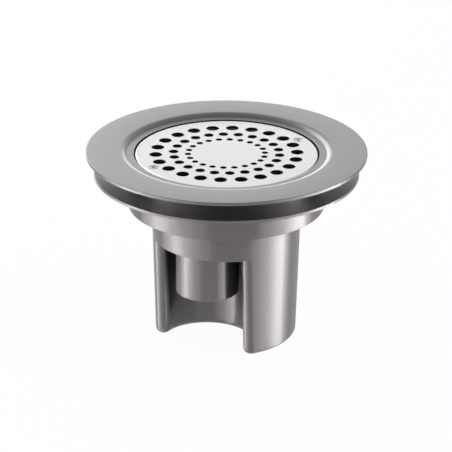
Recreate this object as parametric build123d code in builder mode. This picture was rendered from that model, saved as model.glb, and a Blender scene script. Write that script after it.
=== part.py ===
from build123d import *
from math import cos, radians, sin, tan
import os

# Round floor drain with a screwed grate. The cover frame plugs into the collar of the lower body, and a
# crescent-shaped trap cup with its outlet pipe hangs below. Millimetres, +Z up, the foot stands on z = 0.

os.makedirs("parts", exist_ok=True)

# Heights, one above the other from the foot
cup_height = 67.8
skirt_height = 21.0
collar_height = 20.85
lower_flange_thickness = 2.0
floor_gap = 11.85
flange_thickness = 2.15

# Cover frame
flange_diameter = 180.0
flange_edge_radius = 0.4
ledge_diameter = 128.0
lip_width = 4.6
frame_wall = 2.2
sleeve_wall = 4.0
sleeve_reach = 15.6
seat_bore = 99.0
seat_thickness = 2.4
boss_diameter = 6.4
boss_length = 7.0
boss_clearance = 0.4

# Grate
grate_diameter = 117.2
grate_thickness = 2.0
grate_drop = 2.15
grate_clearance = 0.3
grate_edge_radius = 1.0
holes_per_ring = 22
first_hole_angle = 3.53
outer_ring_radius, outer_hole_diameter = 45.3, 8.0
middle_ring_radius, middle_hole_diameter = 34.0, 6.0
inner_ring_radius, inner_hole_diameter = 24.7, 4.0

# Grate screws, countersunk with a cross recess
screw_count = 2
screw_circle_radius = 52.2
screw_diameter = 3.0
screw_length = 10.0
screw_head_diameter = 5.6
recess_span = 3.0
recess_width = 0.6
recess_depth = 0.8
countersink_angle = 90.0
screw_clearance = 0.4
head_clearance = 0.1
thread_clearance = 0.05

# Lower body
lower_flange_diameter = 170.0
lower_flange_edge_radius = 0.4
collar_diameter = 126.0
collar_wall = 2.6
collar_floor = 2.2
collar_edge_radius = 1.0
collar_root_radius = 1.5
sleeve_clearance = 0.2

# Trap cup
cup_diameter = 96.2
cup_draft = 1.68
cup_wall = 2.2
skirt_wall = 2.0
skirt_step = 0.1
cup_floor = 2.5
channel_radius = 27.5
channel_offset = 24.4
channel_direction = 240.6
corner_radius = 5.0
foot_radius = 4.0
rim_diameter = 105.0
rim_thickness = 2.5
neck_clearance = 0.3

# Outlet pipe
pipe_diameter = 40.6
pipe_wall = 2.2
pipe_rise = 37.5
pipe_edge_radius = 0.6
weir_height = 6.0
pipe_clearance = 0.1

# Lift-out funnel with its push-in dip tube and the bar it is lifted by
funnel_rim_diameter = 97.2
funnel_rim_thickness = 2.0
funnel_depth = 11.0
funnel_wall = 3.8
funnel_floor = 2.2
funnel_clearance = 0.5
dip_diameter = 31.0
dip_wall = 2.0
dip_lip = 1.2
dip_lip_thickness = 1.2
dip_offset = 24.4
dip_clearance = 0.1
water_seal = 50.0
inlet_radius = 1.0
bar_diameter = 5.0
bar_height = 5.0
bar_bite = 1.0
bar_clearance = 0.1

# Seals
sleeve_cord = 2.6
sleeve_seal_depth = 9.0
funnel_cord = 2.4
funnel_seal_depth = 5.5
cup_seal_thickness = 1.5
seal_squeeze = 0.05
groove_play = 0.2

# Levels that follow from the heights
roof_z = cup_height
roof_top_z = roof_z + cup_wall
collar_z = roof_z + skirt_height
collar_floor_z = collar_z + collar_floor
lower_flange_z = collar_z + collar_height
lower_flange_top_z = lower_flange_z + lower_flange_thickness
flange_z = lower_flange_top_z + floor_gap
flange_top_z = flange_z + flange_thickness
grate_top_z = flange_top_z - grate_drop
seat_z = grate_top_z - grate_thickness
seat_under_z = seat_z - seat_thickness
sleeve_bottom_z = lower_flange_top_z - sleeve_reach
rim_z = collar_floor_z + cup_seal_thickness
rim_top_z = rim_z + rim_thickness
weir_z = roof_top_z + weir_height
funnel_rim_top_z = rim_top_z + funnel_rim_thickness
funnel_under_z = rim_top_z - funnel_depth
funnel_floor_z = funnel_under_z + funnel_floor
dip_bottom_z = weir_z - water_seal
dip_top_z = funnel_floor_z + dip_lip_thickness

# Radii and places that follow from the fits
bore_radius = collar_diameter / 2 - collar_wall
sleeve_radius = bore_radius - sleeve_clearance
recess_radius = grate_diameter / 2 + grate_clearance
sleeve_cord_radius = bore_radius - seal_squeeze - sleeve_cord / 2
sleeve_seal_z = lower_flange_top_z - sleeve_seal_depth
funnel_seal_z = rim_top_z - funnel_seal_depth
hole_pitch = 360 / holes_per_ring
screw_angle = first_hole_angle + 1.5 * hole_pitch
channel_x = channel_offset * cos(radians(channel_direction))
channel_y = channel_offset * sin(radians(channel_direction))
dip_x = -dip_offset * cos(radians(channel_direction))
dip_y = -dip_offset * sin(radians(channel_direction))


def cup_radius(z):
    """Outer radius of the drafted cup at height z."""
    return cup_diameter / 2 - (collar_z - z) * tan(radians(cup_draft))


def crescent_solid(bottom_z, top_z, inset, tip_radius):
    """Drafted round block with the outlet channel cut into its side and its two upright tips rounded.

    The inset shrinks the block on every upright side, for the hollow inside the cup's wall.
    """
    with BuildPart() as crescent:
        with BuildSketch(Plane.XY.offset(top_z)):
            Circle(cup_radius(top_z) - inset)
        extrude(amount=bottom_z - top_z, taper=cup_draft)
        with BuildSketch(Plane.XY.offset(bottom_z)):
            with Locations((channel_x, channel_y)):
                Circle(channel_radius + inset)
        extrude(amount=top_z - bottom_z, mode=Mode.SUBTRACT)
        fillet(crescent.edges().filter_by(GeomType.BSPLINE), tip_radius)
    return crescent.part


mouth_radius = cup_radius(funnel_seal_z) - skirt_wall
funnel_radius = cup_radius(funnel_under_z) - skirt_wall - funnel_clearance
funnel_cord_radius = mouth_radius - seal_squeeze - funnel_cord / 2
neck_radius = cup_radius(collar_floor_z) + skirt_step + neck_clearance

# Cover frame: flange, rolled lip, ledge, grate seat and sleeve in one turned section, with two screw bosses.
# The way below each boss stays clear for the screw's end, also where a narrow sleeve comes under it.
with BuildPart() as top_frame:
    with BuildSketch(Plane.XZ) as frame_section:
        with BuildLine():
            lip_start = (ledge_diameter / 2 + lip_width, flange_top_z)
            ledge_corner = (ledge_diameter / 2, grate_top_z)
            dish_radius = ledge_diameter / 2 + frame_wall
            groove_radius = sleeve_cord_radius - sleeve_cord / 2 - seal_squeeze
            groove_half = sleeve_cord / 2 + groove_play
            Polyline(
                lip_start,
                (flange_diameter / 2, flange_top_z),
                (flange_diameter / 2, flange_z),
                (dish_radius, flange_z),
                (dish_radius, seat_under_z),
                (sleeve_radius, seat_under_z),
                (sleeve_radius, sleeve_seal_z + groove_half),
                (groove_radius, sleeve_seal_z + groove_half),
                (groove_radius, sleeve_seal_z - groove_half),
                (sleeve_radius, sleeve_seal_z - groove_half),
                (sleeve_radius, sleeve_bottom_z),
                (sleeve_radius - sleeve_wall, sleeve_bottom_z),
                (sleeve_radius - sleeve_wall, seat_under_z),
                (seat_bore / 2, seat_under_z),
                (seat_bore / 2, seat_z),
                (recess_radius, seat_z),
                (recess_radius, grate_top_z),
                ledge_corner,
            )
            TangentArc(lip_start, ledge_corner, tangent=(-1, 0))
        make_face()
        fillet(frame_section.vertices().group_by(Axis.X)[-1], flange_edge_radius)
    revolve(axis=Axis.Z)
    with BuildSketch(Plane.XY.offset(seat_under_z)):
        with PolarLocations(screw_circle_radius, screw_count, screw_angle):
            Circle(boss_diameter / 2)
    extrude(amount=-boss_length)
    boss_bottom_z = seat_under_z - boss_length
    with BuildSketch(Plane.XY.offset(boss_bottom_z)):
        with PolarLocations(screw_circle_radius, screw_count, screw_angle):
            Circle(boss_diameter / 2 + boss_clearance)
    extrude(amount=sleeve_bottom_z - boss_bottom_z, mode=Mode.SUBTRACT)
    with BuildSketch(Plane.XY.offset(seat_z)):
        with PolarLocations(screw_circle_radius, screw_count, screw_angle):
            Circle(screw_diameter / 2 + thread_clearance)
    extrude(amount=-screw_length, mode=Mode.SUBTRACT)
top_frame.part.label = "top_frame"
export_step(top_frame.part, "parts/top_frame.step")

# Grate: flat plate with three rings of round holes and two countersunk screw holes
with BuildPart() as grate:
    with BuildSketch(Plane.XY.offset(seat_z)):
        Circle(grate_diameter / 2)
        with PolarLocations(outer_ring_radius, holes_per_ring, first_hole_angle):
            Circle(outer_hole_diameter / 2, mode=Mode.SUBTRACT)
        with PolarLocations(middle_ring_radius, holes_per_ring, first_hole_angle + hole_pitch / 2):
            Circle(middle_hole_diameter / 2, mode=Mode.SUBTRACT)
        with PolarLocations(inner_ring_radius, holes_per_ring, first_hole_angle):
            Circle(inner_hole_diameter / 2, mode=Mode.SUBTRACT)
    extrude(amount=grate_thickness)
    grate_top = grate.faces().sort_by(Axis.Z)[-1]
    fillet(grate_top.outer_wire().edges(), grate_edge_radius)
    with Locations(Plane.XY.offset(grate_top_z)):
        with PolarLocations(screw_circle_radius, screw_count, screw_angle):
            CounterSinkHole(
                radius=(screw_diameter + screw_clearance) / 2,
                counter_sink_radius=screw_head_diameter / 2 + head_clearance,
                counter_sink_angle=countersink_angle,
            )
grate.part.label = "grate"
export_step(grate.part, "parts/grate.step")

# Grate screws: countersunk heads flush with the grate, shanks down into the frame's bosses
with BuildPart() as grate_screws:
    head_rise = (screw_head_diameter - screw_diameter) / 2 / tan(radians(countersink_angle / 2))
    with BuildSketch(Plane.XY.offset(grate_top_z)):
        with PolarLocations(screw_circle_radius, screw_count, screw_angle):
            Circle(screw_head_diameter / 2)
    extrude(amount=-head_rise, taper=countersink_angle / 2)
    with BuildSketch(Plane.XY.offset(grate_top_z - head_rise)):
        with PolarLocations(screw_circle_radius, screw_count, screw_angle):
            Circle(screw_diameter / 2)
    extrude(amount=head_rise - screw_length)
    with BuildSketch(Plane.XY.offset(grate_top_z)):
        with PolarLocations(screw_circle_radius, screw_count, screw_angle):
            Rectangle(recess_span, recess_width)
            Rectangle(recess_width, recess_span)
    extrude(amount=-recess_depth, mode=Mode.SUBTRACT)
grate_screws.part.label = "grate_screws"
export_step(grate_screws.part, "parts/grate_screws.step")

# Sleeve seal: O-ring in the sleeve's groove, against the collar's bore
with BuildPart() as sleeve_seal:
    with BuildSketch(Plane.XZ):
        with Locations((sleeve_cord_radius, sleeve_seal_z)):
            Circle(sleeve_cord / 2)
    revolve(axis=Axis.Z)
sleeve_seal.part.label = "sleeve_seal"
export_step(sleeve_seal.part, "parts/sleeve_seal.step")

# Lower body: thin flange, collar and the floor that carries the trap cup
with BuildPart() as drain_body:
    with BuildSketch(Plane.XZ) as body_section:
        with BuildLine():
            Polyline(
                (bore_radius, lower_flange_top_z),
                (lower_flange_diameter / 2, lower_flange_top_z),
                (lower_flange_diameter / 2, lower_flange_z),
                (collar_diameter / 2, lower_flange_z),
                (collar_diameter / 2, collar_z),
                (neck_radius, collar_z),
                (neck_radius, collar_floor_z),
                (bore_radius, collar_floor_z),
                close=True,
            )
        make_face()
        fillet(body_section.vertices().group_by(Axis.X)[-1], lower_flange_edge_radius)
        collar_corners = body_section.vertices().filter_by_position(
            Axis.X, collar_diameter / 2 - collar_floor / 2, collar_diameter / 2 + collar_floor / 2
        )
        fillet(collar_corners.sort_by(Axis.Y)[-1], collar_root_radius)
        collar_corners = body_section.vertices().filter_by_position(
            Axis.X, collar_diameter / 2 - collar_floor / 2, collar_diameter / 2 + collar_floor / 2
        )
        fillet(collar_corners.sort_by(Axis.Y)[0], collar_edge_radius)
    revolve(axis=Axis.Z)
drain_body.part.label = "drain_body"
export_step(drain_body.part, "parts/drain_body.step")

# Cup seal: flat ring between the collar's floor and the cup's rim
with BuildPart() as cup_seal:
    with BuildSketch(Plane.XY.offset(collar_floor_z)):
        Circle(rim_diameter / 2)
        Circle(neck_radius, mode=Mode.SUBTRACT)
    extrude(amount=cup_seal_thickness)
cup_seal.part.label = "cup_seal"
export_step(cup_seal.part, "parts/cup_seal.step")

# Trap cup: crescent cup below a round skirt, with a flat roof over the channel and a hanging rim
with BuildPart() as trap_cup:
    add(crescent_solid(0, roof_z, 0, corner_radius))
    fillet(trap_cup.edges().group_by(Axis.Z)[0], foot_radius)
    with BuildSketch(Plane.XY.offset(roof_z)):
        Circle(cup_radius(roof_z) + skirt_step)
    extrude(amount=rim_z - roof_z, taper=-cup_draft)
    with BuildSketch(Plane.XY.offset(rim_z)):
        Circle(rim_diameter / 2)
    extrude(amount=rim_thickness)
    add(crescent_solid(cup_floor, roof_top_z, cup_wall, corner_radius - cup_wall), mode=Mode.SUBTRACT)
    with BuildSketch(Plane.XY.offset(roof_top_z)):
        Circle(cup_radius(roof_top_z) - skirt_wall)
    extrude(amount=rim_top_z - roof_top_z, taper=-cup_draft, mode=Mode.SUBTRACT)
    with BuildSketch(Plane.XY.offset(roof_z)):
        with Locations((channel_x, channel_y)):
            Circle(pipe_diameter / 2 + pipe_clearance)
    extrude(amount=cup_wall, mode=Mode.SUBTRACT)
trap_cup.part.label = "trap_cup"
export_step(trap_cup.part, "parts/trap_cup.step")

# Outlet pipe: stands through the roof, its upper end is the weir that sets the water level
with BuildPart() as outlet_pipe:
    with BuildSketch(Plane.XY.offset(pipe_rise)):
        with Locations((channel_x, channel_y)):
            Circle(pipe_diameter / 2)
            Circle(pipe_diameter / 2 - pipe_wall, mode=Mode.SUBTRACT)
    extrude(amount=weir_z - pipe_rise)
    fillet(outlet_pipe.edges().group_by(Axis.Z)[0], pipe_edge_radius)
outlet_pipe.part.label = "outlet_pipe"
export_step(outlet_pipe.part, "parts/outlet_pipe.step")

# Dip funnel: round dish on the cup's rim, with a hole for the dip tube and two blind holes for the lift bar
bar_reach = funnel_radius - funnel_wall + bar_bite
bar_plane = Plane(
    origin=(0, 0, funnel_floor_z + bar_height),
    z_dir=(-sin(radians(channel_direction)), cos(radians(channel_direction)), 0),
)
with BuildPart() as dip_funnel:
    with BuildSketch(Plane.XZ):
        with BuildLine():
            groove_radius = funnel_cord_radius - funnel_cord / 2 - seal_squeeze
            groove_half = funnel_cord / 2 + groove_play
            Polyline(
                (0, funnel_under_z),
                (funnel_radius, funnel_under_z),
                (funnel_radius, funnel_seal_z - groove_half),
                (groove_radius, funnel_seal_z - groove_half),
                (groove_radius, funnel_seal_z + groove_half),
                (funnel_radius, funnel_seal_z + groove_half),
                (funnel_radius, rim_top_z),
                (funnel_rim_diameter / 2, rim_top_z),
                (funnel_rim_diameter / 2, funnel_rim_top_z),
                (funnel_radius - funnel_wall, funnel_rim_top_z),
                (funnel_radius - funnel_wall, funnel_floor_z),
                (0, funnel_floor_z),
                close=True,
            )
        make_face()
    revolve(axis=Axis.Z)
    with BuildSketch(Plane.XY.offset(funnel_under_z)):
        with Locations((dip_x, dip_y)):
            Circle(dip_diameter / 2 + dip_clearance)
    extrude(amount=funnel_floor, mode=Mode.SUBTRACT)
    with BuildSketch(bar_plane):
        Circle(bar_diameter / 2 + bar_clearance)
    extrude(amount=bar_reach + bar_clearance, both=True, mode=Mode.SUBTRACT)
dip_funnel.part.label = "dip_funnel"
export_step(dip_funnel.part, "parts/dip_funnel.step")

# Dip tube: hangs by its lip in the dish and reaches down into the crescent, below the water level
with BuildPart() as dip_tube:
    with BuildSketch(Plane.XY.offset(funnel_floor_z)):
        with Locations((dip_x, dip_y)):
            Circle(dip_diameter / 2 + dip_lip)
    extrude(amount=dip_lip_thickness)
    with BuildSketch(Plane.XY.offset(dip_bottom_z)):
        with Locations((dip_x, dip_y)):
            Circle(dip_diameter / 2)
    extrude(amount=funnel_floor_z - dip_bottom_z)
    with BuildSketch(Plane.XY.offset(dip_bottom_z)):
        with Locations((dip_x, dip_y)):
            Circle(dip_diameter / 2 - dip_wall)
    extrude(amount=dip_top_z - dip_bottom_z, mode=Mode.SUBTRACT)
    mouth_edges = dip_tube.edges().filter_by(GeomType.CIRCLE).group_by(Axis.Z)[-1]
    fillet(mouth_edges.sort_by(SortBy.RADIUS)[0], inlet_radius)
dip_tube.part.label = "dip_tube"
export_step(dip_tube.part, "parts/dip_tube.step")

# Lift bar: round rod across the dish, its ends in the blind holes
with BuildPart() as lift_bar:
    with BuildSketch(bar_plane):
        Circle(bar_diameter / 2)
    extrude(amount=bar_reach, both=True)
lift_bar.part.label = "lift_bar"
export_step(lift_bar.part, "parts/lift_bar.step")

# Funnel seal: O-ring in the funnel's groove, against the cup's mouth
with BuildPart() as funnel_seal:
    with BuildSketch(Plane.XZ):
        with Locations((funnel_cord_radius, funnel_seal_z)):
            Circle(funnel_cord / 2)
    revolve(axis=Axis.Z)
funnel_seal.part.label = "funnel_seal"
export_step(funnel_seal.part, "parts/funnel_seal.step")
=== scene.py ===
import logging
import math
from dataclasses import dataclass, replace
from enum import Enum
from typing import Optional, Sequence

import bmesh
import bpy
from mathutils import Matrix, Vector


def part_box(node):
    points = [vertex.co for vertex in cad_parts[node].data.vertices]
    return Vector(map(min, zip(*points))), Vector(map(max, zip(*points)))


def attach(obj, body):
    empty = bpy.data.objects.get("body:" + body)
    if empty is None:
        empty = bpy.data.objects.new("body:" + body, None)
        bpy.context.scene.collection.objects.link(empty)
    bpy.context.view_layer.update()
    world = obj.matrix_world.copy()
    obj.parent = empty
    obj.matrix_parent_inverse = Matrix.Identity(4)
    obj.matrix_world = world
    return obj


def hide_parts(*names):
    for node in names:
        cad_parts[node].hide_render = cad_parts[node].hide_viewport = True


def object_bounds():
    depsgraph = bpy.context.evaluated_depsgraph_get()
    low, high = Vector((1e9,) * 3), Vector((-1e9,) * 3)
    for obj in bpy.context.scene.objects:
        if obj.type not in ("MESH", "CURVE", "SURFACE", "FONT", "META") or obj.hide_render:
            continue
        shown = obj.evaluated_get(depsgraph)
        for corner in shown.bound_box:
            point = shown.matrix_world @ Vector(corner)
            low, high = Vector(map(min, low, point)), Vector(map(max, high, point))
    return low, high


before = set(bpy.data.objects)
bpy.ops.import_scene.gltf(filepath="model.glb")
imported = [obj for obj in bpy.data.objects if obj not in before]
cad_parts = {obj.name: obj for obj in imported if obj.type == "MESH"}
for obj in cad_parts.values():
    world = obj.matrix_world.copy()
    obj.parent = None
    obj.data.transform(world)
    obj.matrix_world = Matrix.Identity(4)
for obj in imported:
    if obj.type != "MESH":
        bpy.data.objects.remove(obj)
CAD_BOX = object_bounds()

# Looks of a round floor drain: a bright perforated grate in a satin grey cover frame, a lower body with a
# collar, and a crescent trap cup with its outlet pipe. Metres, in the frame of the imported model.

log = logging.getLogger("floor_drain")

MM = 0.001
BODY = "root"

# Steps round a large and a small turned form. Turn of one step, and least number of steps, on a rounded edge.
ROUND_SEGMENTS = 256
SMALL_SEGMENTS = 48
ARC_STEP = math.radians(11)
ARC_LEAST = 3

# Edges that turn more than the first stay crisp. Faces whose normals rise less than the second are upright.
SHARP_ANGLE = math.radians(32)
UPRIGHT_SLOPE = math.sin(math.radians(30))

# Distance of the holding points beside a rounding, reach of a cutter past a face, and merging distance.
HOLD = 0.08 * MM
OVERCUT = 1 * MM
WELD = 1e-7

# How far the grate's top lies below the ledge, and the height that the lamps aim at.
GRATE_SINK = 0.4 * MM
AIM_HEIGHT = 70 * MM

# The part of a noise's range, from 0 to 1, that carries its variation.
NOISE_RANGE = (0.3, 0.7)

Colour = tuple[float, float, float]
Point2 = tuple[float, float]
Loop = list[bmesh.types.BMVert]


class Surface(Enum):
    """The kinds of surface on a moulded piece, which differ in how they spread light."""

    FLAT = "flat"
    UPRIGHT = "upright"


class Slot(Enum):
    """The record's material slots."""

    GREY = "grey_plastic"
    STAINLESS = "stainless"
    SCREW = "screw_steel"
    RUBBER = "seal_rubber"
    FUNNEL = "funnel_plastic"


@dataclass(frozen=True)
class Corner:
    """One corner of a turned section.

    Attributes:
        r: Distance from the axis.
        z: Height.
        fillet: Radius that the corner is rounded to, 0 for a sharp one.
    """

    r: float
    z: float
    fillet: float = 0.0

    @property
    def point(self) -> Vector:
        """The corner as a vector in the plane of the section."""
        return Vector((self.r, self.z))


def rounded_outline(corners: Sequence[Corner]) -> list[Point2]:
    """Round the corners of a closed section, with a holding point on each flat beside a rounding.

    Args:
        corners: The section's corners, in order.

    Returns:
        The outline's points as (r, z).
    """
    outline: list[Point2] = []
    for before, corner, after in zip([corners[-1], *corners[:-1]], corners, [*corners[1:], corners[0]]):
        if corner.fillet <= 0:
            outline.append((corner.r, corner.z))
            continue
        back = (before.point - corner.point).normalized()
        ahead = (after.point - corner.point).normalized()
        half = back.angle(ahead) / 2
        reach = corner.fillet / math.tan(half)
        centre = corner.point + (back + ahead).normalized() * corner.fillet / math.sin(half)
        start = (corner.point + back * reach - centre).normalized()
        end = (corner.point + ahead * reach - centre).normalized()
        sweep = math.pi - 2 * half
        steps = max(ARC_LEAST, math.ceil(sweep / ARC_STEP))
        outline.append(tuple(corner.point + back * (reach + HOLD)))
        for k in range(steps + 1):
            turn = sweep * k / steps
            spoke = (start * math.sin(sweep - turn) + end * math.sin(turn)) / math.sin(sweep)
            outline.append(tuple(centre + spoke * corner.fillet))
        outline.append(tuple(corner.point + ahead * (reach + HOLD)))
    return outline


def arc_points(centre: Point2, radius: float, start: float, end: float, count: int) -> list[Point2]:
    """Points along an arc, without its last one.

    Args:
        centre: The arc's centre.
        radius: The arc's radius.
        start: First angle, in radians.
        end: Last angle, in radians.
        count: Number of points.

    Returns:
        The points, from the first angle on.
    """
    angles = [start + (end - start) * k / count for k in range(count)]
    return [(centre[0] + radius * math.cos(a), centre[1] + radius * math.sin(a)) for a in angles]


def bridge(bm: bmesh.types.BMesh, lower: Loop, upper: Loop) -> None:
    """Join two loops of as many vertices by a band of faces.

    Args:
        bm: The mesh being built.
        lower: One loop.
        upper: The other loop.
    """
    for k, vert in enumerate(lower):
        bm.faces.new((lower[k - 1], vert, upper[k], upper[k - 1]))


def fill_loops(bm: bmesh.types.BMesh, *loops: Loop) -> None:
    """Fill the flat face that an outer loop and the holes in it bound.

    Args:
        bm: The mesh being built.
        loops: The outer loop and its holes.
    """
    edges = []
    for loop in loops:
        for k, vert in enumerate(loop):
            pair = (loop[k - 1], vert)
            edges.append(bm.edges.get(pair) or bm.edges.new(pair))
    bmesh.ops.triangle_fill(bm, edges=edges, use_beauty=True, use_dissolve=False)


def finished_mesh(bm: bmesh.types.BMesh, name: str) -> bpy.types.Mesh:
    """Turn a bmesh into a mesh with smooth curves and crisp corners.

    Args:
        bm: The bmesh, which is freed.
        name: The mesh's name.

    Returns:
        The mesh.
    """
    bmesh.ops.remove_doubles(bm, verts=bm.verts[:], dist=WELD)
    bmesh.ops.recalc_face_normals(bm, faces=bm.faces[:])
    mesh = bpy.data.meshes.new(name)
    bm.to_mesh(mesh)
    bm.free()
    mesh.shade_smooth()
    mesh.set_sharp_from_angle(angle=SHARP_ANGLE)
    return mesh


def turn_outline(bm: bmesh.types.BMesh, outline: Sequence[Point2], centre: Point2 = (0.0, 0.0),
                 segments: int = ROUND_SEGMENTS) -> None:
    """Turn a closed outline round an upright axis and add it to a bmesh.

    Args:
        bm: The mesh being built.
        outline: Points as (r, z). A point on the axis becomes a pole.
        centre: The axis's place.
        segments: Number of steps round the axis.
    """
    rings = []
    for k in range(segments):
        c, s = math.cos(2 * math.pi * k / segments), math.sin(2 * math.pi * k / segments)
        rings.append([bm.verts.new((centre[0] + r * c, centre[1] + r * s, z)) for r, z in outline])
    for k, ring in enumerate(rings):
        bridge(bm, rings[k - 1], ring)


def turned_mesh(name: str, corners: Sequence[Corner], segments: int = ROUND_SEGMENTS) -> bpy.types.Mesh:
    """Build a ring-shaped mesh from its section.

    Args:
        name: The mesh's name.
        corners: The section's corners.
        segments: Number of steps round the axis.

    Returns:
        The mesh.
    """
    bm = bmesh.new()
    turn_outline(bm, rounded_outline(corners), segments=segments)
    return finished_mesh(bm, name)


def cut_away(mesh: bpy.types.Mesh, cutter: bpy.types.Mesh) -> bpy.types.Mesh:
    """Subtract one closed mesh from another.

    Args:
        mesh: The mesh that loses material.
        cutter: The mesh that is taken away.

    Returns:
        A new mesh with the cut made.
    """
    blank = bpy.data.objects.new("blank", mesh)
    tool = bpy.data.objects.new("tool", cutter)
    for item in (blank, tool):
        bpy.context.scene.collection.objects.link(item)
    cut = blank.modifiers.new("cut", "BOOLEAN")
    cut.operation = "DIFFERENCE"
    cut.solver = "EXACT"
    cut.object = tool
    bpy.context.view_layer.update()
    result = bpy.data.meshes.new_from_object(blank.evaluated_get(bpy.context.evaluated_depsgraph_get()))
    for item in (blank, tool):
        bpy.data.objects.remove(item)
    result.name = mesh.name
    result.shade_smooth()
    result.set_sharp_from_angle(angle=SHARP_ANGLE)
    return result


class ShaderSheet:
    """A fresh node material with short ways to add its nodes."""

    def __init__(self, name: str) -> None:
        """Make the material and find its main shader.

        Args:
            name: The material's name.
        """
        self.material = bpy.data.materials.new(name)
        self.material.use_nodes = True
        self.tree = self.material.node_tree
        self.shader = self.tree.nodes["Principled BSDF"]

    def add(self, kind: str, **inputs: object) -> bpy.types.Node:
        """Add a node.

        Args:
            kind: The node's type name.
            inputs: Values for its input sockets, by name with underscores for spaces.

        Returns:
            The node.
        """
        node = self.tree.nodes.new(kind)
        for name, value in inputs.items():
            node.inputs[name.replace("_", " ")].default_value = value
        return node

    def link(self, source: bpy.types.NodeSocket, target: bpy.types.NodeSocket) -> None:
        """Link two sockets."""
        self.tree.links.new(source, target)

    def set(self, **inputs: object) -> None:
        """Set constants on the main shader's own sockets."""
        for name, value in inputs.items():
            self.shader.inputs[name.replace("_", " ")].default_value = value

    def noise(self, size: float, detail: float = 2.0, stretch: Colour = (1.0, 1.0, 1.0)) -> bpy.types.NodeSocket:
        """Noise in the object's own coordinates.

        Args:
            size: Size of the noise's features, in metres.
            detail: Number of octaves.
            stretch: Factor on each axis.

        Returns:
            The noise's value socket, from 0 to 1.
        """
        place = self.add("ShaderNodeTexCoord")
        scale = self.add("ShaderNodeMapping")
        scale.inputs["Scale"].default_value = [factor / size for factor in stretch]
        noise = self.add("ShaderNodeTexNoise", Scale=1.0, Detail=detail)
        self.link(place.outputs["Object"], scale.inputs["Vector"])
        self.link(scale.outputs["Vector"], noise.inputs["Vector"])
        return noise.outputs["Fac"]

    def mottle(self, value: bpy.types.NodeSocket, colour: Colour, spread: float) -> None:
        """Vary the main shader's colour about a middle tone.

        Args:
            value: The noise that drives the tone.
            colour: The middle tone.
            spread: Share by which the tone rises and falls.
        """
        ramp = self.add("ShaderNodeValToRGB")
        for element, place, factor in zip(ramp.color_ramp.elements, NOISE_RANGE, (1 - spread, 1 + spread)):
            element.position = place
            element.color = (*(part * factor for part in colour), 1.0)
        self.link(value, ramp.inputs["Fac"])
        self.link(ramp.outputs["Color"], self.shader.inputs["Base Color"])

    def roughen(self, value: bpy.types.NodeSocket, roughness: float, spread: float) -> None:
        """Vary the main shader's roughness about a middle value.

        Args:
            value: The noise that drives the roughness.
            roughness: The middle value.
            spread: Share by which it rises and falls.
        """
        low, high = NOISE_RANGE
        mapped = self.add("ShaderNodeMapRange", From_Min=low, From_Max=high,
                          To_Min=roughness * (1 - spread), To_Max=roughness * (1 + spread))
        self.link(value, mapped.inputs["Value"])
        self.link(mapped.outputs["Result"], self.shader.inputs["Roughness"])

    def bump(self, value: bpy.types.NodeSocket, depth: float) -> None:
        """Raise and lower the surface by a noise.

        Args:
            value: The noise.
            depth: Height of the relief, in metres.
        """
        relief = self.add("ShaderNodeBump", Strength=1.0, Distance=depth)
        self.link(value, relief.inputs["Height"])
        self.link(relief.outputs["Normal"], self.shader.inputs["Normal"])


@dataclass(frozen=True)
class MouldedGrey:
    """Satin grey moulding, with faint mottling and the fine grain of the mould.

    Attributes:
        surface: Whether it dresses flats or upright walls.
        colour: Middle tone.
        roughness: Middle roughness.
        streak: How far upright walls draw highlights out along their height.
        ior: Index that sets how strongly it mirrors.
        gloss_coat: Share of a smooth skin over the grain.
        mirror_tint: Colour that mirrored light takes on.
        streak_turn: Turn of the streaks from the way round the axis, as a share of a full turn.
        mottling: Share by which the tone varies.
        mottle_size: Size of the tone's patches.
        rough_spread: Share by which the roughness varies.
        grain_size: Size of the mould's grain.
        grain_depth: Height of the grain.
    """

    surface: Surface
    colour: Colour = (0.028, 0.0255, 0.0272)
    roughness: float = 0.36
    streak: float = 0.0
    ior: float = 2.2
    gloss_coat: float = 0.0
    mirror_tint: Colour = (1.0, 0.945, 0.975)
    streak_turn: float = 0.25
    mottling: float = 0.03
    mottle_size: float = 9 * MM
    rough_spread: float = 0.05
    grain_size: float = 0.22 * MM
    grain_depth: float = 0.004 * MM

    def material(self) -> bpy.types.Material:
        """Build the finish's material.

        Returns:
            The material.
        """
        sheet = ShaderSheet(f"moulded_grey_{self.surface.value}")
        sheet.mottle(sheet.noise(self.mottle_size, detail=3.0), self.colour, self.mottling)
        sheet.roughen(sheet.noise(self.mottle_size / 2), self.roughness, self.rough_spread)
        sheet.set(IOR=self.ior, Coat_Weight=self.gloss_coat, Coat_Roughness=self.roughness,
                  Specular_Tint=(*self.mirror_tint, 1.0))
        sheet.bump(sheet.noise(self.grain_size), self.grain_depth)
        if self.streak:
            sheet.set(Anisotropic=self.streak, Anisotropic_Rotation=self.streak_turn)
            tangent = sheet.add("ShaderNodeTangent")
            tangent.direction_type = "RADIAL"
            tangent.axis = "Z"
            sheet.link(tangent.outputs["Tangent"], sheet.shader.inputs["Tangent"])
        return sheet.material


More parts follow.
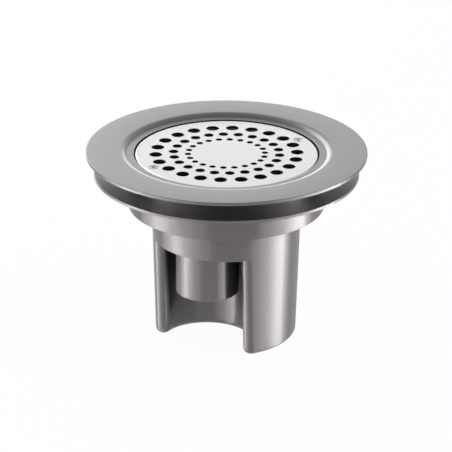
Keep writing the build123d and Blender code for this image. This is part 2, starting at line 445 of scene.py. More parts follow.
@dataclass(frozen=True)
class PolishedSteel:
    """Bright rolled stainless sheet, with the faintest grain along the rolling.

    Attributes:
        name: The material's name.
        colour: Middle tone of the metal.
        roughness: Middle roughness.
        tone_spread: Share by which the tone varies.
        rough_spread: Share by which the roughness varies.
        cloud_size: Size of the tone's patches.
        grain_size: Width of the rolling grain.
        grain_depth: Height of the grain.
        grain_stretch: Factor on the grain's fineness along each axis.
    """

    name: str
    colour: Colour = (0.625, 0.628, 0.636)
    roughness: float = 0.24
    tone_spread: float = 0.015
    rough_spread: float = 0.1
    cloud_size: float = 5 * MM
    grain_size: float = 0.35 * MM
    grain_depth: float = 0.002 * MM
    grain_stretch: Colour = (0.08, 1.0, 1.0)

    def material(self) -> bpy.types.Material:
        """Build the finish's material.

        Returns:
            The material.
        """
        sheet = ShaderSheet(self.name)
        sheet.mottle(sheet.noise(self.cloud_size, detail=4.0), self.colour, self.tone_spread)
        sheet.roughen(sheet.noise(self.cloud_size / 3), self.roughness, self.rough_spread)
        sheet.set(Metallic=1.0)
        sheet.bump(sheet.noise(self.grain_size, stretch=self.grain_stretch), self.grain_depth)
        return sheet.material


@dataclass(frozen=True)
class MattDark:
    """Matt dark surface: rubber and plastic inside, and painted shade on sheared steel and on what lies in shadow.

    Attributes:
        name: The material's name.
        colour: Middle tone.
        roughness: Middle roughness.
        sheen: How much it mirrors.
        tone_spread: Share by which the tone varies.
        rough_spread: Share by which the roughness varies.
        cloud_size: Size of the patches of both.
        grain_size: Size of the grain.
        grain_depth: Height of the grain.
    """

    name: str
    colour: Colour
    roughness: float
    sheen: float = 0.5
    tone_spread: float = 0.15
    rough_spread: float = 0.08
    cloud_size: float = 6 * MM
    grain_size: float = 0.4 * MM
    grain_depth: float = 0.01 * MM

    def material(self) -> bpy.types.Material:
        """Build the finish's material.

        Returns:
            The material.
        """
        sheet = ShaderSheet(self.name)
        cloud = sheet.noise(self.cloud_size, detail=3.0)
        sheet.mottle(cloud, self.colour, self.tone_spread)
        sheet.roughen(cloud, self.roughness, self.rough_spread)
        sheet.set(Specular_IOR_Level=self.sheen)
        sheet.bump(sheet.noise(self.grain_size), self.grain_depth)
        return sheet.material


@dataclass(frozen=True)
class Wardrobe:
    """All finishes of the drain, made once.

    Attributes:
        flat: Grey of flats and edges.
        shade: Painted shade: near-black matt grey on the recess wall round the grate, standing in for its shadow.
        upright: Grey of upright walls.
        sheet: Stainless of the grate.
        punched: Painted shade: near-black matt steel on the upright faces of the grate's rim, holes and countersinks
            and of the screws, where sheared edges lie in shadow.
        screw: Steel of the screws.
        rubber: Rubber of the seals.
        funnel: Dark plastic of the funnel.
    """

    flat: bpy.types.Material
    shade: bpy.types.Material
    upright: bpy.types.Material
    sheet: bpy.types.Material
    punched: bpy.types.Material
    screw: bpy.types.Material
    rubber: bpy.types.Material
    funnel: bpy.types.Material

    @classmethod
    def made(cls) -> "Wardrobe":
        """Build each finish's material.

        Returns:
            The drain's finishes.
        """
        return cls(
            flat=MouldedGrey(Surface.FLAT, ior=1.5, gloss_coat=1.0).material(),
            # Painted shade: near-black on the recess wall round the grate, for the shadow there.
            shade=MattDark("painted_recess_shade", (0.010, 0.009, 0.010), 0.8, 0.2).material(),
            upright=MouldedGrey(Surface.UPRIGHT, roughness=0.40, streak=1.0, grain_depth=0.0015 * MM).material(),
            sheet=PolishedSteel("polished_sheet").material(),
            # Painted shade: near-black on upright steel faces, for the shadow in the holes, at the rim and in the
            # screws' recesses.
            punched=MattDark("punched_steel_edge", (0.008, 0.007, 0.008), 0.7, 0.25).material(),
            screw=PolishedSteel("turned_screw_steel", colour=(0.56, 0.56, 0.57), roughness=0.2).material(),
            rubber=MattDark("seal_rubber", (0.02, 0.02, 0.021), 0.75).material(),
            funnel=MattDark("funnel_plastic", (0.03, 0.028, 0.03), 0.5).material(),
        )


@dataclass(frozen=True)
class Levels:
    """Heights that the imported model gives.

    Attributes:
        flange_top: Top of the cover flange.
        grate_top: Top of the grate's solid, level with the ledge and with the cover flange's underside.
        grate_bottom: Underside of the grate, on its seat.
        sleeve_bottom: Lower end of the cover frame's sleeve.
        lower_flange_top: Top of the lower flange.
        collar_bottom: Lower end of the collar.
        rim_top: Top of the trap cup's rim.
        weir: Upper end of the outlet pipe.
        pipe_bottom: Lower end of the outlet pipe.
    """

    flange_top: float
    grate_top: float
    grate_bottom: float
    sleeve_bottom: float
    lower_flange_top: float
    collar_bottom: float
    rim_top: float
    weir: float
    pipe_bottom: float

    @classmethod
    def of_frame(cls) -> "Levels":
        """Read the heights from the nodes' boxes.

        Returns:
            The heights.
        """
        cover, plate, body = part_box("top_frame"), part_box("grate"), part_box("drain_body")
        cup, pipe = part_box("trap_cup"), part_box("outlet_pipe")
        return cls(
            flange_top=cover[1].z,
            grate_top=plate[1].z,
            grate_bottom=plate[0].z,
            sleeve_bottom=cover[0].z,
            lower_flange_top=body[1].z,
            collar_bottom=body[0].z,
            rim_top=cup[1].z,
            weir=pipe[1].z,
            pipe_bottom=pipe[0].z,
        )


def half_width(node: str) -> float:
    """Half the width of a round CAD node."""
    low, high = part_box(node)
    return (high.x - low.x) / 2


def put(name: str, mesh: bpy.types.Mesh, materials: Sequence[bpy.types.Material],
        node: str, at: Optional[Vector] = None) -> bpy.types.Object:
    """Place a dressed piece, ride it on the drain and let it stand for its CAD node.

    Args:
        name: The piece's name.
        mesh: Its mesh.
        materials: Its materials. Where there are more than one, the second goes on upright faces.
        node: The CAD node that it replaces.
        at: Place of the mesh's origin, the frame's origin if left out.

    Returns:
        The piece.
    """
    mesh.materials.clear()
    for material in materials:
        mesh.materials.append(material)
    if len(materials) > 1:
        for face in mesh.polygons:
            face.material_index = 1 if abs(face.normal.z) < UPRIGHT_SLOPE else 0
    piece = bpy.data.objects.new(name, mesh)
    bpy.context.scene.collection.objects.link(piece)
    if at is not None:
        piece.location = at
    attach(piece, BODY)
    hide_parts(node)
    return piece


@dataclass
class CoverFrame:
    """The cover flange with its rolled lip, ledge, grate seat and sleeve.

    Attributes:
        levels: The drain's heights.
        lip_width: Width of the rolled lip.
        lip_steps: Number of steps along the lip's arc.
        ledge_radius: Where the lip ends and the ledge begins.
        edge_rounding: Rounding of the flange's rim.
        wall: Wall of the dish round the recess.
        seat_thickness: Thickness of the grate's seat.
        recess_radius: Radius of the recess that the grate lies in.
        seat_bore: Radius of the opening below the grate.
        sleeve_radius: Outer radius of the sleeve.
        sleeve_wall: Wall of the sleeve.
        fine_edge: Rounding of the edges inside.
        recess_edge: Rounding between the ledge and the recess.
    """

    levels: Levels
    lip_width: float = 4.6 * MM
    lip_steps: int = 10
    ledge_radius: float = 64.0 * MM
    edge_rounding: float = 0.4 * MM
    wall: float = 2.2 * MM
    seat_thickness: float = 2.4 * MM
    recess_radius: float = 59.4 * MM
    seat_bore: float = 49.5 * MM
    sleeve_radius: float = 60.2 * MM
    sleeve_wall: float = 4.0 * MM
    fine_edge: float = 0.25 * MM
    recess_edge: float = 0.06 * MM

    def lip(self) -> list[Corner]:
        """The rolled lip's arc, from the ledge up to the flange.

        Returns:
            Points of the arc, as corners without a rounding.
        """
        drop = self.levels.flange_top - self.levels.grate_top
        radius = (self.lip_width ** 2 + drop ** 2) / (2 * drop)
        span = math.asin(self.lip_width / radius)
        top = self.ledge_radius + self.lip_width
        turns = [span * (1 - k / self.lip_steps) for k in range(self.lip_steps + 1)]
        return [Corner(top - radius * math.sin(t), self.levels.flange_top - radius * (1 - math.cos(t)))
                for t in turns]

    def section(self) -> list[Corner]:
        """The frame's closed section.

        Returns:
            Its corners: the lip, the flange, the sleeve and the recess.
        """
        at, seat_under = self.levels, self.levels.grate_bottom - self.seat_thickness
        flange, dish = half_width("top_frame"), self.ledge_radius + self.wall
        inner = self.sleeve_radius - self.sleeve_wall
        return [
            *self.lip(),
            Corner(flange, at.flange_top, self.edge_rounding),
            Corner(flange, at.grate_top, self.edge_rounding),
            Corner(dish, at.grate_top),
            Corner(dish, seat_under),
            Corner(self.sleeve_radius, seat_under),
            Corner(self.sleeve_radius, at.sleeve_bottom, self.fine_edge),
            Corner(inner, at.sleeve_bottom, self.fine_edge),
            Corner(inner, seat_under),
            Corner(self.seat_bore, seat_under, self.fine_edge),
            Corner(self.seat_bore, at.grate_bottom, self.fine_edge),
            Corner(self.recess_radius, at.grate_bottom),
            Corner(self.recess_radius, at.grate_top, self.recess_edge),
        ]

    def build(self, finishes: Wardrobe) -> bpy.types.Object:
        """Build and dress the frame.

        Args:
            finishes: The drain's finishes.

        Returns:
            The piece.
        """
        mesh = turned_mesh("cover_frame", self.section())
        materials = [finishes.flat, finishes.upright, finishes.shade]
        piece = put("cover_frame", mesh, materials, "top_frame")
        # Painted shade: faces of the recess wall above the grate's seat take the near-black finish, for the shadow
        # round the grate.
        for face in mesh.polygons:
            above_seat = self.levels.grate_bottom - WELD < face.center.z
            if above_seat and face.center.xy.length < self.recess_radius:
                face.material_index = materials.index(finishes.shade)
        return piece


@dataclass(frozen=True)
class HoleRing:
    """One ring of round holes in the grate.

    Attributes:
        circle: Radius of the circle that the holes stand on.
        radius: Radius of each hole.
        shift: Turn of the ring, in hole pitches.
    """

    circle: float
    radius: float
    shift: float = 0.0


@dataclass
class PerforatedGrate:
    """The flat grate with its three rings of holes and its two countersinks.

    Attributes:
        levels: The drain's heights.
        rings: The rings of holes.
        holes: Number of holes in each ring.
        first_angle: Direction of the first hole.
        edge: Rounding of the punched edges.
        rim_edge: Rounding of the rim's upper edge.
        screw_circle: Radius of the circle that the screws stand on.
        screw_pitch: Turn of the first screw from the first hole, in hole pitches.
        head_radius: Radius of a screw's head.
        head_gap: Gap round a screw's head.
        head_sink: Depth of the upright wall above a countersink.
        shank_hole: Radius of the hole for a screw's shank.
    """

    levels: Levels
    rings: tuple[HoleRing, ...] = (
        HoleRing(45.3 * MM, 4.12 * MM),
        HoleRing(34.0 * MM, 3.12 * MM, 0.5),
        HoleRing(24.7 * MM, 2.12 * MM),
    )
    holes: int = 22
    first_angle: float = math.radians(3.53)
    edge: float = 0.06 * MM
    rim_edge: float = 1.0 * MM
    screw_circle: float = 52.2 * MM
    screw_pitch: float = 1.5
    head_radius: float = 2.8 * MM
    head_gap: float = 0.45 * MM
    head_sink: float = 0.5 * MM
    shank_hole: float = 1.7 * MM

    @property
    def pitch(self) -> float:
        """Angle from one hole to the next."""
        return 2 * math.pi / self.holes

    def screw_places(self) -> list[Point2]:
        """The two screws' places."""
        first = self.first_angle + self.screw_pitch * self.pitch
        return [(self.screw_circle * math.cos(a), self.screw_circle * math.sin(a)) for a in (first, first + math.pi)]

    def hole_places(self) -> list[tuple[Point2, float]]:
        """Centre and radius of every water hole.

        Returns:
            One pair for each hole, ring by ring.
        """
        places = []
        for ring in self.rings:
            for k in range(self.holes):
                angle = self.first_angle + (k + ring.shift) * self.pitch
                places.append(((ring.circle * math.cos(angle), ring.circle * math.sin(angle)), ring.radius))
        return places

    def rolled(self, radius: float, side: int, top_edge: float) -> list[Point2]:
        """The section of one upright edge of the plate, from the top face to the bottom face.

        Args:
            radius: Radius of the edge's wall.
            side: 1 where the plate lies outside the wall, as at a hole, and -1 inside the rim.
            top_edge: Rounding at the top.

        Returns:
            The section's points as (r, z).
        """
        top, bottom = self.levels.grate_top, self.levels.grate_bottom
        clear_of_edge = 4 * max(top_edge, self.edge)
        far = radius + side * clear_of_edge
        corners = [Corner(far, top), Corner(radius, top, top_edge), Corner(radius, bottom, self.edge),
                   Corner(far, bottom)]
        return rounded_outline(corners)[1:-1]

    def turned_edge(self, bm: bmesh.types.BMesh, outline: Sequence[Point2], centre: Point2,
                    segments: int) -> tuple[Loop, Loop]:
        """Turn an edge's section round its axis.

        Args:
            bm: The mesh being built.
            outline: The section from top to bottom.
            centre: Place of the axis.
            segments: Number of steps round it.

        Returns:
            The loops that bound the top face and the bottom face.
        """
        loops = []
        for r, z in outline:
            ring = arc_points(centre, r, 0, 2 * math.pi, segments)
            loops.append([bm.verts.new((x, y, z)) for x, y in ring])
        for upper, lower in zip(loops, loops[1:]):
            bridge(bm, upper, lower)
        return loops[0], loops[-1]

    def plate(self) -> bpy.types.Mesh:
        """The plate with its rolled rim and a fine rounding on every hole.

        Returns:
            The plate's mesh.
        """
        bm = bmesh.new()
        faces = [self.turned_edge(bm, self.rolled(half_width("grate"), -1, self.rim_edge), (0, 0), ROUND_SEGMENTS)]
        for centre, radius in self.hole_places():
            faces.append(self.turned_edge(bm, self.rolled(radius, 1, self.edge), centre, SMALL_SEGMENTS))
        for loops in zip(*faces):
            fill_loops(bm, *loops)
        return finished_mesh(bm, "grate")

    def countersinks(self) -> bpy.types.Mesh:
        """The cutter for the two screw holes.

        Returns:
            The cutter's mesh.
        """
        bm = bmesh.new()
        wide, narrow = self.head_radius + self.head_gap, self.shank_hole
        low, high = self.levels.grate_bottom - OVERCUT, self.levels.grate_top + OVERCUT
        sink = self.levels.grate_top - self.head_sink
        outline = [(0, low), (narrow, low), (narrow, sink - (wide - narrow)), (wide, sink), (wide, high), (0, high)]
        for place in self.screw_places():
            turn_outline(bm, outline, place, segments=SMALL_SEGMENTS)
        return finished_mesh(bm, "countersinks")

    def build(self, finishes: Wardrobe) -> bpy.types.Object:
        """Build and dress the grate.

        Args:
            finishes: The drain's finishes.

        Returns:
            The piece.
        """
        mesh = cut_away(self.plate(), self.countersinks())
        # Painted shade: upright faces of the rim, the holes and the countersinks take the near-black finish.
        return put("perforated_grate", mesh, [finishes.sheet, finishes.punched], "grate")


@dataclass
class GrateScrews:
    """The two countersunk screws with their cross recesses.

    Attributes:
        grate: The grate that they hold.
        length: Length from the head's top.
        shank_radius: Radius of the shank.
        recess_span: Width across two arms of the cross.
        recess_width: Width of an arm.
        recess_depth: Depth of the cross.
        recess_taper: Share of the span at the cross's floor.
        recess_flare: Share of the span at the cutter's top.
        recess_overcut: Height of the cutter above the head.
        arm_turns: Direction of one arm on each screw.
        edge: Rounding of the head and of the tip.
    """

    grate: PerforatedGrate
    length: float = 10.0 * MM
    shank_radius: float = 1.5 * MM
    recess_span: float = 3.6 * MM
    recess_width: float = 0.9 * MM
    recess_depth: float = 0.9 * MM
    recess_taper: float = 0.55
    recess_flare: float = 1.1
    recess_overcut: float = 0.2 * MM
    arm_turns: tuple[float, float] = (math.radians(20), math.radians(55))
    edge: float = 0.12 * MM

    def section(self) -> list[Corner]:
        """A screw's closed section, from its axis.

        Returns:
            Its corners.
        """
        top, head = self.grate.levels.grate_top, self.grate.head_radius
        rise = head - self.shank_radius
        return [
            Corner(0, top),
            Corner(head, top, self.edge),
            Corner(self.shank_radius, top - rise),
            Corner(self.shank_radius, top - self.length, self.edge),
            Corner(0, top - self.length),
        ]

    def cross(self, bm: bmesh.types.BMesh, place: Point2, turn: float) -> None:
        """Add the tapered cutter of one cross recess.

        Args:
            bm: The cutter's mesh.
            place: The screw's place.
            turn: Direction of one arm, in radians.
        """
        top = self.grate.levels.grate_top
        ends = ((top - self.recess_depth, self.recess_taper), (top + self.recess_overcut, self.recess_flare))
        loops = []
        for z, scale in ends:
            long, short = self.recess_span / 2 * scale, self.recess_width / 2
            quarter = [(long, -short), (long, short), (short, short)]
            spin = [Matrix.Rotation(turn + k * math.pi / 2, 2) for k in range(4)]
            points = [m @ Vector(p) for m in spin for p in quarter]
            loops.append([bm.verts.new((place[0] + p.x, place[1] + p.y, z)) for p in points])
        bridge(bm, loops[0], loops[1])
        for loop in loops:
            bm.faces.new(loop)

    def build(self, finishes: Wardrobe) -> bpy.types.Object:
        """Build and dress the screws.

        Args:
            finishes: The drain's finishes.

        Returns:
            The piece, both screws in one mesh.
        """
        screws, crosses = bmesh.new(), bmesh.new()
        outline = rounded_outline(self.section())
        for place, turn in zip(self.grate.screw_places(), self.arm_turns):
            turn_outline(screws, outline, place, segments=SMALL_SEGMENTS)
            self.cross(crosses, place, turn)
        mesh = cut_away(finished_mesh(screws, "grate_screws"), finished_mesh(crosses, "crosses"))
        # Painted shade: upright faces of the screws, the cross recesses among them, take the near-black finish.
        return put("grate_screw_pair", mesh, [finishes.screw, finishes.punched], "grate_screws")


@dataclass
class LowerBody:
    """The thin lower flange, the collar and the floor that carries the cup.

    Attributes:
        levels: The drain's heights.
        flange_thickness: Thickness of the flange.
        flange_edge: Rounding of the flange's rim.
        collar_radius: Outer radius of the collar.
        collar_edge: Rounding of the collar's lower edge.
        collar_root: Rounding between the flange and the collar.
        bore_radius: Radius of the collar's bore.
        floor: Thickness of the floor.
        neck_radius: Radius of the opening that the cup hangs through.
        fine_edge: Rounding of the edges inside.
    """

    levels: Levels
    flange_thickness: float = 2.0 * MM
    flange_edge: float = 0.4 * MM
    collar_radius: float = 63.0 * MM
    collar_edge: float = 0.3 * MM
    collar_root: float = 1.5 * MM
    bore_radius: float = 60.4 * MM
    floor: float = 2.2 * MM
    neck_radius: float = 48.56 * MM
    fine_edge: float = 0.25 * MM

    def build(self, finishes: Wardrobe) -> bpy.types.Object:
        """Build and dress the body.

        Args:
            finishes: The drain's finishes.

        Returns:
            The piece.
        """
        top, bottom, flange = self.levels.lower_flange_top, self.levels.collar_bottom, half_width("drain_body")
        section = [
            Corner(self.bore_radius, top, self.fine_edge),
            Corner(flange, top, self.flange_edge),
            Corner(flange, top - self.flange_thickness, self.flange_edge),
            Corner(self.collar_radius, top - self.flange_thickness, self.collar_root),
            Corner(self.collar_radius, bottom, self.collar_edge),
            Corner(self.neck_radius, bottom, self.fine_edge),
            Corner(self.neck_radius, bottom + self.floor, self.fine_edge),
            Corner(self.bore_radius, bottom + self.floor),
        ]
        mesh = turned_mesh("lower_body", section)
        return put("lower_body", mesh, [finishes.flat, finishes.upright], "drain_body")


@dataclass
class TrapCup:
    """The crescent cup with its skirt, its roof over the outlet channel and its hanging rim.

    Attributes:
        levels: The drain's heights.
        neck_radius: Outer radius at the collar's lower end.
        draft: Slope of the upright walls.
        roof: Height of the roof's underside and of the skirt's lower edge.
        wall: Wall of the crescent and of the roof.
        skirt_wall: Wall of the skirt.
        floor: Thickness of the crescent's floor.
        channel_radius: Radius of the outlet channel.
        channel_offset: Distance of the channel's axis from the drain's.
        channel_direction: Direction that the channel opens in.
        tip_radius: Rounding of the crescent's tips.
        foot_radius: Rounding of the foot.
        rim_thickness: Thickness of the hanging rim.
        pipe_hole: Radius of the hole for the outlet pipe.
        outer_points: Number of points along the crescent's back.
        tip_points: Number of points round a tip.
        channel_points: Number of points along the channel.
        mouth_points: Number of points of the skirt across the channel's mouth.
        hole_points: Number of points round the pipe's hole.
        foot_steps: Number of steps up the foot's rounding.
        wall_steps: Number of steps up the wall.
    """

    levels: Levels
    neck_radius: float = 48.1 * MM
    draft: float = math.radians(1.68)
    roof: float = 67.8 * MM
    wall: float = 2.2 * MM
    skirt_wall: float = 2.0 * MM
    floor: float = 2.5 * MM
    channel_radius: float = 27.5 * MM
    channel_offset: float = 24.4 * MM
    channel_direction: float = math.radians(240.6)
    tip_radius: float = 5.0 * MM
    foot_radius: float = 4.0 * MM
    rim_thickness: float = 2.5 * MM
    pipe_hole: float = 20.4 * MM
    outer_points: int = 170
    tip_points: int = 26
    channel_points: int = 90
    mouth_points: int = 70
    hole_points: int = 96
    foot_steps: int = 8
    wall_steps: int = 10

    @property
    def channel_centre(self) -> Vector:
        """Where the channel's upright axis stands."""
        return Vector((self.channel_offset * math.cos(self.channel_direction),
                       self.channel_offset * math.sin(self.channel_direction), 0))

    def radius_at(self, z: float) -> float:
        """Outer radius of the drafted wall at a height."""
        return self.neck_radius - (self.levels.collar_bottom - z) * math.tan(self.draft)

    def tip_centre(self, radius: float) -> Point2:
        """Centre of the tip's rounding, in the channel's own direction.

        Args:
            radius: Outer radius of the wall.

        Returns:
            The centre along and across the channel's direction.
        """
        from_axis, from_channel = radius - self.tip_radius, self.channel_radius + self.tip_radius
        along = (from_axis ** 2 - from_channel ** 2 + self.channel_offset ** 2) / (2 * self.channel_offset)
        return along, math.sqrt(from_axis ** 2 - along ** 2)

    def crescent(self, radius: float, inset: float) -> list[Point2]:
        """The crescent's outline: back arc, one tip, the channel and the other tip.

        Args:
            radius: Outer radius of the wall.
            inset: How far the outline lies inside the wall's outer face.

        Returns:
            The outline's points in the channel's own direction.
        """
        along, across = self.tip_centre(radius)
        bearing = math.atan2(across, along)
        lean = math.atan2(across, along - self.channel_offset)
        outer, channel, tip = radius - inset, self.channel_radius + inset, self.tip_radius - inset
        centre = (self.channel_offset, 0.0)
        return [
            *arc_points((0.0, 0.0), outer, bearing, 2 * math.pi - bearing, self.outer_points),
            *arc_points((along, -across), tip, -bearing, math.pi - lean, self.tip_points),
            *arc_points(centre, channel, 2 * math.pi - lean, lean, self.channel_points),
            *arc_points((along, across), tip, lean - math.pi, bearing, self.tip_points),
        ]

    def loop(self, bm: bmesh.types.BMesh, points: Sequence[Point2], z: float) -> Loop:
        """Add a loop of vertices, turned to the channel's direction.

        Args:
            bm: The mesh being built.
            points: The loop's points in the channel's own direction.
            z: Its height.

        Returns:
            The loop.
        """
        c, s = math.cos(self.channel_direction), math.sin(self.channel_direction)
        return [bm.verts.new((x * c - y * s, x * s + y * c, z)) for x, y in points]

    def ring(self, bm: bmesh.types.BMesh, radius: float, z: float) -> Loop:
        """Add a full round loop whose points line up with the crescent's outer arc.

        Args:
            bm: The mesh being built.
            radius: The loop's radius.
            z: Its height.

        Returns:
            The loop: the outer arc's points, then those across the channel's mouth.
        """
        along, across = self.tip_centre(self.radius_at(self.roof))
        bearing = math.atan2(across, along)
        points = arc_points((0.0, 0.0), radius, bearing, 2 * math.pi - bearing, self.outer_points)
        points += arc_points((0.0, 0.0), radius, -bearing, bearing, self.mouth_points)
        return self.loop(bm, points, z)

    def outer_walls(self, bm: bmesh.types.BMesh) -> tuple[Loop, Loop]:
        """Build the foot, the crescent's walls and the skirt's lower ring.

        Args:
            bm: The mesh being built.

        Returns:
            The skirt's lower ring and the crescent's upper loop.
        """
        turns = [math.pi / 2 * k / self.foot_steps for k in range(self.foot_steps + 1)]
        levels = [(self.foot_radius * (1 - math.cos(t)), self.foot_radius * (1 - math.sin(t))) for t in turns]
        rise = self.roof - self.foot_radius
        levels += [(self.foot_radius + rise * (k + 1) / self.wall_steps, 0.0) for k in range(self.wall_steps)]
        loops = [self.loop(bm, self.crescent(self.radius_at(z), inset), z) for z, inset in levels]
        for lower, upper in zip(loops, loops[1:]):
            bridge(bm, lower, upper)
        fill_loops(bm, loops[0])
        top = loops[-1]
        ring = self.ring(bm, self.radius_at(self.roof), self.roof)
        shared = self.outer_points + 1
        for spare in ring[:shared]:
            bm.verts.remove(spare)
        return [*top[:shared], *ring[shared:]], top

    def build_shell(self, bm: bmesh.types.BMesh) -> None:
        """Build the whole cup as one closed skin.

        Args:
            bm: The mesh being built.
        """
        skirt, crescent_top = self.outer_walls(bm)
        shared = self.outer_points
        under = self.loop(bm, self.pipe_hole_points(), self.roof)
        fill_loops(bm, [*crescent_top[shared:], crescent_top[0], *reversed(skirt[shared + 1:])], under)
        rim_bottom = self.levels.rim_top - self.rim_thickness
        roof_top = self.roof + self.wall
        sizes = [(self.radius_at(rim_bottom), rim_bottom), (half_width("trap_cup"), rim_bottom),
                 (half_width("trap_cup"), self.levels.rim_top),
                 (self.radius_at(self.levels.rim_top) - self.skirt_wall, self.levels.rim_top),
                 (self.radius_at(roof_top) - self.skirt_wall, roof_top)]
        below = skirt
        for radius, z in sizes:
            above = self.ring(bm, radius, z)
            bridge(bm, below, above)
            below = above
        hollow_top = self.loop(bm, self.crescent(self.radius_at(roof_top), self.wall), roof_top)
        over = self.loop(bm, self.pipe_hole_points(), roof_top)
        fill_loops(bm, below, hollow_top, over)
        bridge(bm, under, over)
        hollow_floor = self.loop(bm, self.crescent(self.radius_at(self.floor), self.wall), self.floor)
        bridge(bm, hollow_top, hollow_floor)
        fill_loops(bm, hollow_floor)

    def pipe_hole_points(self) -> list[Point2]:
        """The outline of the hole that the outlet pipe stands in."""
        return arc_points((self.channel_offset, 0.0), self.pipe_hole, 0, 2 * math.pi, self.hole_points)

    def build(self, finishes: Wardrobe) -> bpy.types.Object:
        """Build and dress the cup.

        Args:
            finishes: The drain's finishes.

        Returns:
            The piece.
        """
        bm = bmesh.new()
        self.build_shell(bm)
        mesh = finished_mesh(bm, "crescent_trap_cup")
        return put("crescent_trap_cup", mesh, [finishes.flat, finishes.upright], "trap_cup")


@dataclass
class OutletPipe:
    """The outlet pipe that stands through the cup's roof.

    Attributes:
        cup: The cup that carries it.
        wall: Wall of the pipe.
        edge: Rounding of its ends.
        segments: Number of steps round it.
    """

    cup: TrapCup
    wall: float = 2.2 * MM
    edge: float = 0.6 * MM
    segments: int = 160

    def build(self, finishes: Wardrobe) -> bpy.types.Object:
        """Build and dress the pipe.

        Args:
            finishes: The drain's finishes.

        Returns:
            The piece.
        """
        outer, at = half_width("outlet_pipe"), self.cup.levels
        section = [
            Corner(outer, at.pipe_bottom, self.edge),
            Corner(outer, at.weir, self.edge),
            Corner(outer - self.wall, at.weir, self.edge),
            Corner(outer - self.wall, at.pipe_bottom, self.edge),
        ]
        mesh = turned_mesh("outlet_pipe_tube", section, segments=self.segments)
        return put("outlet_pipe_tube", mesh, [finishes.flat, finishes.upright], "outlet_pipe",
                   self.cup.channel_centre)


@dataclass
class InnerPieces:
    """The funnel's pieces and the seals, which keep their CAD shapes.

    Attributes:
        nodes: The nodes and the material slot of each.
    """

    nodes: dict[str, Slot]

    def build(self, finishes: Wardrobe) -> list[bpy.types.Object]:
        """Dress the CAD nodes.

        Args:
            finishes: The drain's finishes.

        Returns:
            The dressed nodes.
        """
        dressed = []
        for name, slot in self.nodes.items():
            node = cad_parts[name]
            material = finishes.funnel if slot is Slot.FUNNEL else finishes.rubber
            for place in node.material_slots:
                place.material = material
            dressed.append(node)
        return dressed


@dataclass(frozen=True)
class SoftBox:
    """A rectangular studio lamp that faces the drain.

    Attributes:
        name: The lamp's name.
        azimuth: Direction from the front, in degrees, positive to the right.
        elevation: Height above the horizon, in degrees.
        distance: Distance from the drain.
        width: Width of the lamp.
        height: Height of the lamp.
        power: Power in watts.
    """

    name: str
    azimuth: float
    elevation: float
    distance: float
    width: float
    height: float
    power: float

    def build(self, target: Vector) -> bpy.types.Object:
        """Set the lamp up.

        Args:
            target: The point that it faces.

        Returns:
            The lamp.
        """
        lamp = bpy.data.lights.new(self.name, "AREA")
        lamp.shape = "RECTANGLE"
        lamp.size, lamp.size_y = self.width, self.height
        lamp.energy = self.power
        holder = bpy.data.objects.new(self.name, lamp)
        bpy.context.scene.collection.objects.link(holder)
        a, e = math.radians(self.azimuth), math.radians(self.elevation)
        towards = Vector((math.cos(e) * math.sin(a), -math.cos(e) * math.cos(a), math.sin(e)))
        holder.location = target + towards * self.distance
        holder.rotation_euler = (-towards).to_track_quat("-Z", "Y").to_euler()
        holder.visible_camera = False
        return holder


def side_strip(name: str, azimuth: float, width: float, power: float) -> SoftBox:
    """A low strip lamp at the drain's side, which draws an upright highlight."""
    return SoftBox(name, azimuth, elevation=3, distance=0.9, width=width, height=0.22, power=power)


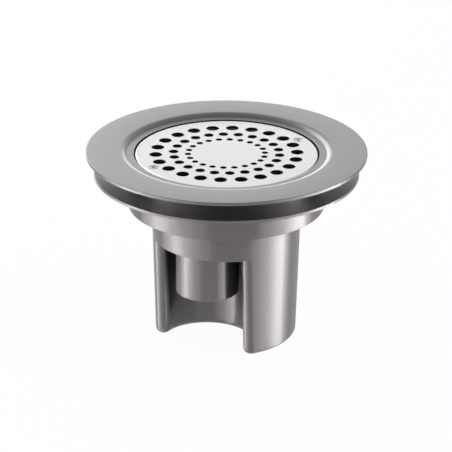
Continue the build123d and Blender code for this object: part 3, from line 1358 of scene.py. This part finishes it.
@dataclass
class Studio:
    """The pale floor, the white surroundings, the lamps and the camera.

    Attributes:
        aim: The point that the lamps face.
        lamps: The lamps.
        floor_half: Half the floor's width.
        floor_tone: Tone of the floor.
        floor_spread: Share by which the floor's tone varies.
        floor_patch: Size of the floor's patches.
        floor_gap: Distance from the foot down to the floor.
        floor_glow: Share of plain white in the floor where it is seen or mirrored.
        ambient: Strength of the surroundings where they light the drain.
        camera_place: The camera's place.
        camera_tilt: Its tilt from looking straight down.
        camera_roll: Its roll.
        camera_reach: Largest distance that it sees.
        lens: Its focal length, in millimetres.
        sensor: Width of its sensor, in millimetres.
    """

    aim: Vector
    lamps: tuple[SoftBox, ...] = (
        side_strip("right_strip_back", 102, 0.157, 1.12),
        side_strip("right_strip", 92, 0.157, 4.21),
        side_strip("right_strip_front", 82, 0.157, 3.78),
        side_strip("right_side", 72, 0.157, 2.32),
        side_strip("right_fill", 60, 0.236, 1.98),
        side_strip("right_front", 45, 0.236, 0.95),
        side_strip("left_strip_back", -102, 0.157, 0.86),
        side_strip("left_strip", -92, 0.157, 1.46),
        side_strip("left_strip_front", -82, 0.157, 2.88),
        side_strip("left_side", -72, 0.157, 2.49),
        side_strip("left_fill", -60, 0.236, 2.15),
        side_strip("left_front", -45, 0.236, 1.16),
        side_strip("left_centre", -30, 0.236, 0.6),
        SoftBox("back_left", -146, 32, 1.0, 0.55, 0.40, 3.0),
        SoftBox("back_left_low", -158, 9, 1.0, 0.45, 0.25, 1.1),
        SoftBox("back_low", 180, 9, 1.0, 0.40, 0.25, 0.93),
    )
    floor_half: float = 8.0
    floor_tone: float = 0.9
    floor_spread: float = 0.005
    floor_patch: float = 0.4
    floor_gap: float = 0.05 * MM
    floor_glow: float = 0.96
    ambient: float = 0.36
    camera_place: Vector = Vector((-0.13 * MM, -1897.8 * MM, 869.2 * MM))
    camera_tilt: float = math.radians(67.232)
    camera_roll: float = math.radians(0.33)
    camera_reach: float = 100.0
    lens: float = 254.0
    sensor: float = 36.0

    def shows_white(self, tree: bpy.types.NodeTree) -> bpy.types.NodeSocket:
        """A switch that is on for rays that show the surroundings: seen, mirrored or through glass.

        Args:
            tree: The node tree to add to.

        Returns:
            The switch's socket.
        """
        path = tree.nodes.new("ShaderNodeLightPath")
        switch: Optional[bpy.types.NodeSocket] = None
        for ray in ("Is Camera Ray", "Is Glossy Ray", "Is Transmission Ray"):
            if switch is None:
                switch = path.outputs[ray]
                continue
            either = tree.nodes.new("ShaderNodeMath")
            either.operation = "MAXIMUM"
            tree.links.new(switch, either.inputs[0])
            tree.links.new(path.outputs[ray], either.inputs[1])
            switch = either.outputs[0]
        return switch

    def build_world(self) -> None:
        """Surround the drain with white that lights it only a little."""
        world = bpy.data.worlds.new("white_surroundings")
        bpy.context.scene.world = world
        world.use_nodes = True
        tree = world.node_tree
        strength = tree.nodes.new("ShaderNodeMapRange")
        strength.inputs["To Min"].default_value = self.ambient
        strength.inputs["To Max"].default_value = 1.0
        tree.links.new(self.shows_white(tree), strength.inputs["Value"])
        background = tree.nodes["Background"]
        background.inputs["Color"].default_value = (1, 1, 1, 1)
        tree.links.new(strength.outputs["Result"], background.inputs["Strength"])

    def build_floor(self) -> bpy.types.Object:
        """Lay the pale floor, which keeps a soft shadow and is open from below.

        Returns:
            The floor.
        """
        bm = bmesh.new()
        bmesh.ops.create_grid(bm, x_segments=1, y_segments=1, size=self.floor_half)
        mesh = bpy.data.meshes.new("pale_floor")
        bm.to_mesh(mesh)
        bm.free()
        sheet = ShaderSheet("pale_floor")
        sheet.mottle(sheet.noise(self.floor_patch), (self.floor_tone,) * 3, self.floor_spread)
        sheet.set(Roughness=0.9, Specular_IOR_Level=0.0)
        glow = sheet.add("ShaderNodeEmission", Strength=1.0)
        share = sheet.add("ShaderNodeMath")
        share.operation = "MULTIPLY"
        share.inputs[1].default_value = self.floor_glow
        sheet.link(self.shows_white(sheet.tree), share.inputs[0])
        lit = sheet.add("ShaderNodeMixShader")
        sheet.link(share.outputs[0], lit.inputs["Fac"])
        sheet.link(sheet.shader.outputs["BSDF"], lit.inputs[1])
        sheet.link(glow.outputs["Emission"], lit.inputs[2])
        below = sheet.add("ShaderNodeNewGeometry")
        clear = sheet.add("ShaderNodeBsdfTransparent")
        sided = sheet.add("ShaderNodeMixShader")
        sheet.link(below.outputs["Backfacing"], sided.inputs["Fac"])
        sheet.link(lit.outputs["Shader"], sided.inputs[1])
        sheet.link(clear.outputs["BSDF"], sided.inputs[2])
        sheet.link(sided.outputs["Shader"], sheet.tree.nodes["Material Output"].inputs["Surface"])
        mesh.materials.append(sheet.material)
        floor = bpy.data.objects.new("pale_floor", mesh)
        bpy.context.scene.collection.objects.link(floor)
        floor.location.z = CAD_BOX[0].z - self.floor_gap
        return floor

    def build_camera(self) -> bpy.types.Object:
        """Set the camera at the photograph's viewing angle.

        Returns:
            The camera.
        """
        lens = bpy.data.cameras.new("camera")
        lens.sensor_width = self.sensor
        lens.lens = self.lens
        lens.clip_end = self.camera_reach
        camera = bpy.data.objects.new("camera", lens)
        bpy.context.scene.collection.objects.link(camera)
        camera.matrix_world = (Matrix.Translation(self.camera_place) @ Matrix.Rotation(self.camera_tilt, 4, "X")
                               @ Matrix.Rotation(self.camera_roll, 4, "Z"))
        bpy.context.scene.camera = camera
        return camera

    def build(self) -> None:
        """Set up the whole studio."""
        bpy.context.scene.view_settings.view_transform = "Standard"
        self.build_world()
        self.build_floor()
        self.build_camera()
        for lamp in self.lamps:
            lamp.build(self.aim)


def main() -> None:
    """Build the drain's pieces in order, then the studio around them."""
    logging.basicConfig(level=logging.INFO, format="%(message)s")
    levels = Levels.of_frame()
    finishes = Wardrobe.made()
    grate = PerforatedGrate(replace(levels, grate_top=levels.grate_top - GRATE_SINK))
    cup = TrapCup(levels)
    inner = InnerPieces({
        "dip_funnel": Slot.FUNNEL,
        "dip_tube": Slot.FUNNEL,
        "lift_bar": Slot.FUNNEL,
        "sleeve_seal": Slot.RUBBER,
        "cup_seal": Slot.RUBBER,
        "funnel_seal": Slot.RUBBER,
    })
    parts = (CoverFrame(levels), grate, GrateScrews(grate), LowerBody(levels), cup, OutletPipe(cup))
    for piece in [*(part.build(finishes) for part in parts), *inner.build(finishes)]:
        log.info("%s, faces: %d, finishes: %d", piece.name, len(piece.data.polygons), len(piece.material_slots))
    Studio(aim=Vector((0, 0, AIM_HEIGHT))).build()


if __name__ == "__main__":
    main()
